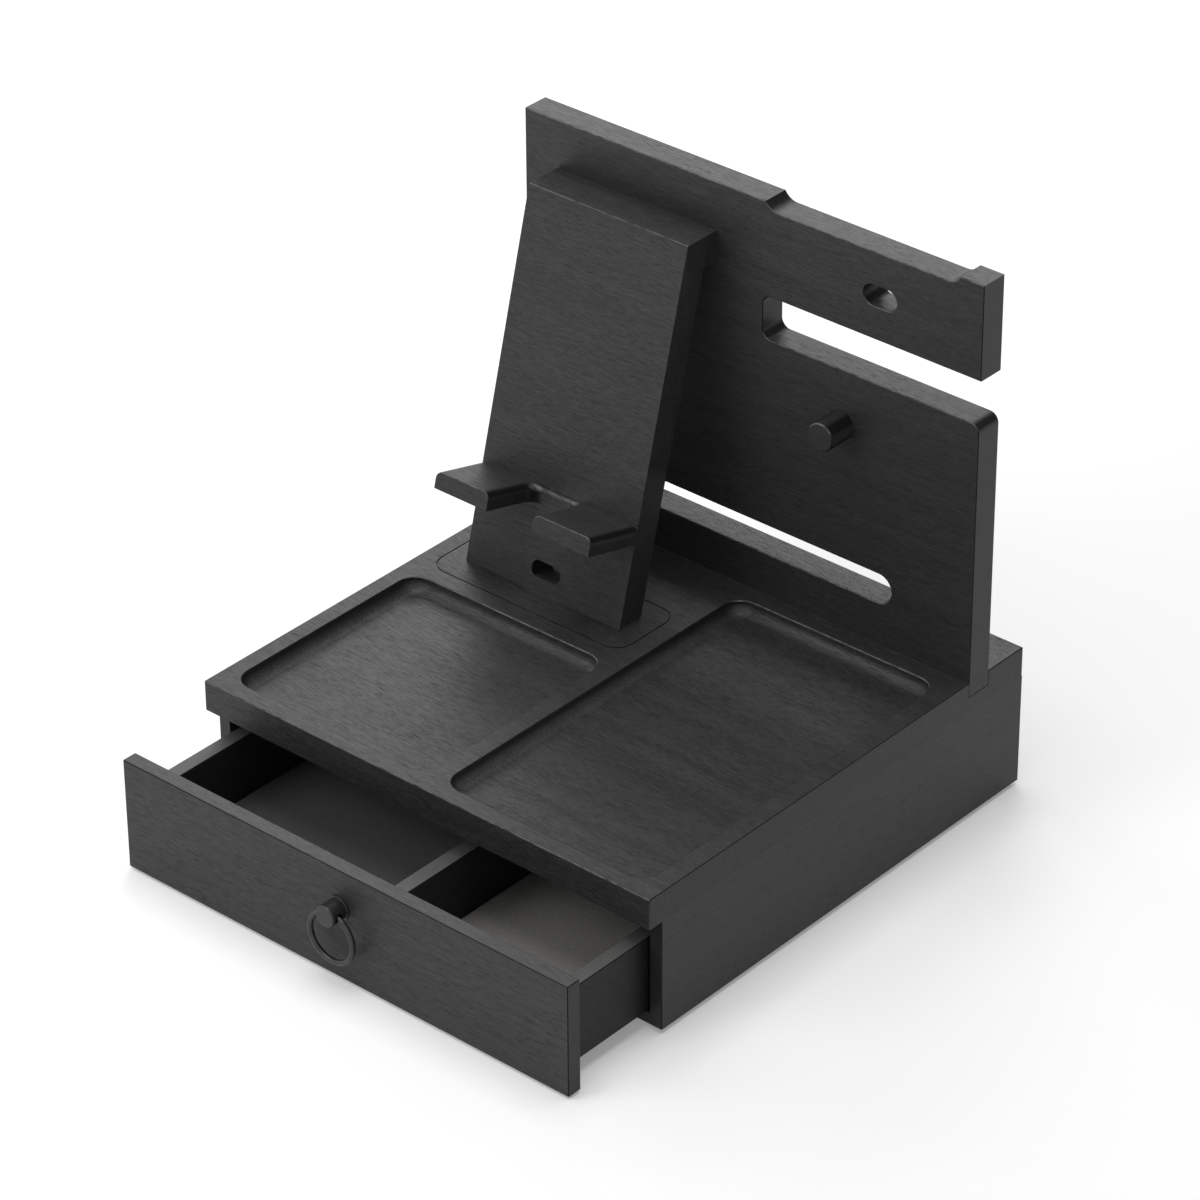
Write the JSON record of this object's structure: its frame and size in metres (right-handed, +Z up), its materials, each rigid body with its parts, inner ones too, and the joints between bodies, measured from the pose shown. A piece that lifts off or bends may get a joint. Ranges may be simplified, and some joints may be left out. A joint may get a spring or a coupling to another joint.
{
  "type": "valet box",
  "caption": "Black wooden valet box with a divided drawer and ring pull, tray pockets, a leaning phone stand with a notched ledge, and a backboard with a watch arm and a ring peg.",
  "frame": {"origin": "centre of the case's footprint, on the surface that the box stands on", "axes": "+Z up, front towards -Y, +X to the right seen from the front; the drawer is 54.3 mm open"},
  "size_m": [0.272, 0.3342, 0.2866],
  "materials": {
    "black_wood": "black stain, satin",
    "dowel_wood": "bare",
    "felt": "felt",
    "black_metal": "satin black",
    "screw_steel": "zinc plated",
    "rubber_pad": "matte"
  },
  "bodies": {
    "case": {"top_board": "black_wood", "left_side": "black_wood", "right_side": "black_wood", "case_bottom": "black_wood", "case_back": "black_wood", "case_feet": "rubber_pad", "case_dowels": "dowel_wood", "bottom_screws": "screw_steel", "backboard": "black_wood", "backboard_screws": "screw_steel", "peg": "black_wood", "stand_panel": "black_wood", "stand_spacer": "black_wood", "stand_foot_screws": "screw_steel", "stand_head_screws": "screw_steel", "phone_ledge": "black_wood", "ledge_screws": "screw_steel"},
    "drawer": {"drawer_front": "black_wood", "drawer_left_side": "black_wood", "drawer_right_side": "black_wood", "drawer_back": "black_wood", "drawer_bottom": "black_wood", "drawer_divider": "black_wood", "left_lining": "felt", "right_lining": "felt", "drawer_front_dowels": "dowel_wood", "drawer_rear_dowels": "dowel_wood", "pull_rosette": "black_metal", "pull_post": "black_metal", "pull_washer": "black_metal", "pull_nut": "black_metal"},
    "ring": {"pull_ring": "black_metal"}
  },
  "joints": [
    {"name": "drawer_slide", "type": "slide", "parent": "case", "child": "drawer", "axis": [0, -1, 0], "range_m": [-0.0543, 0.11]},
    {"name": "ring_swing", "type": "hinge", "parent": "drawer", "child": "ring", "pos_m": [0, -0.195, 0.03962], "axis": [-1, 0, 0], "range_deg": [-8, 188]}
  ]
}
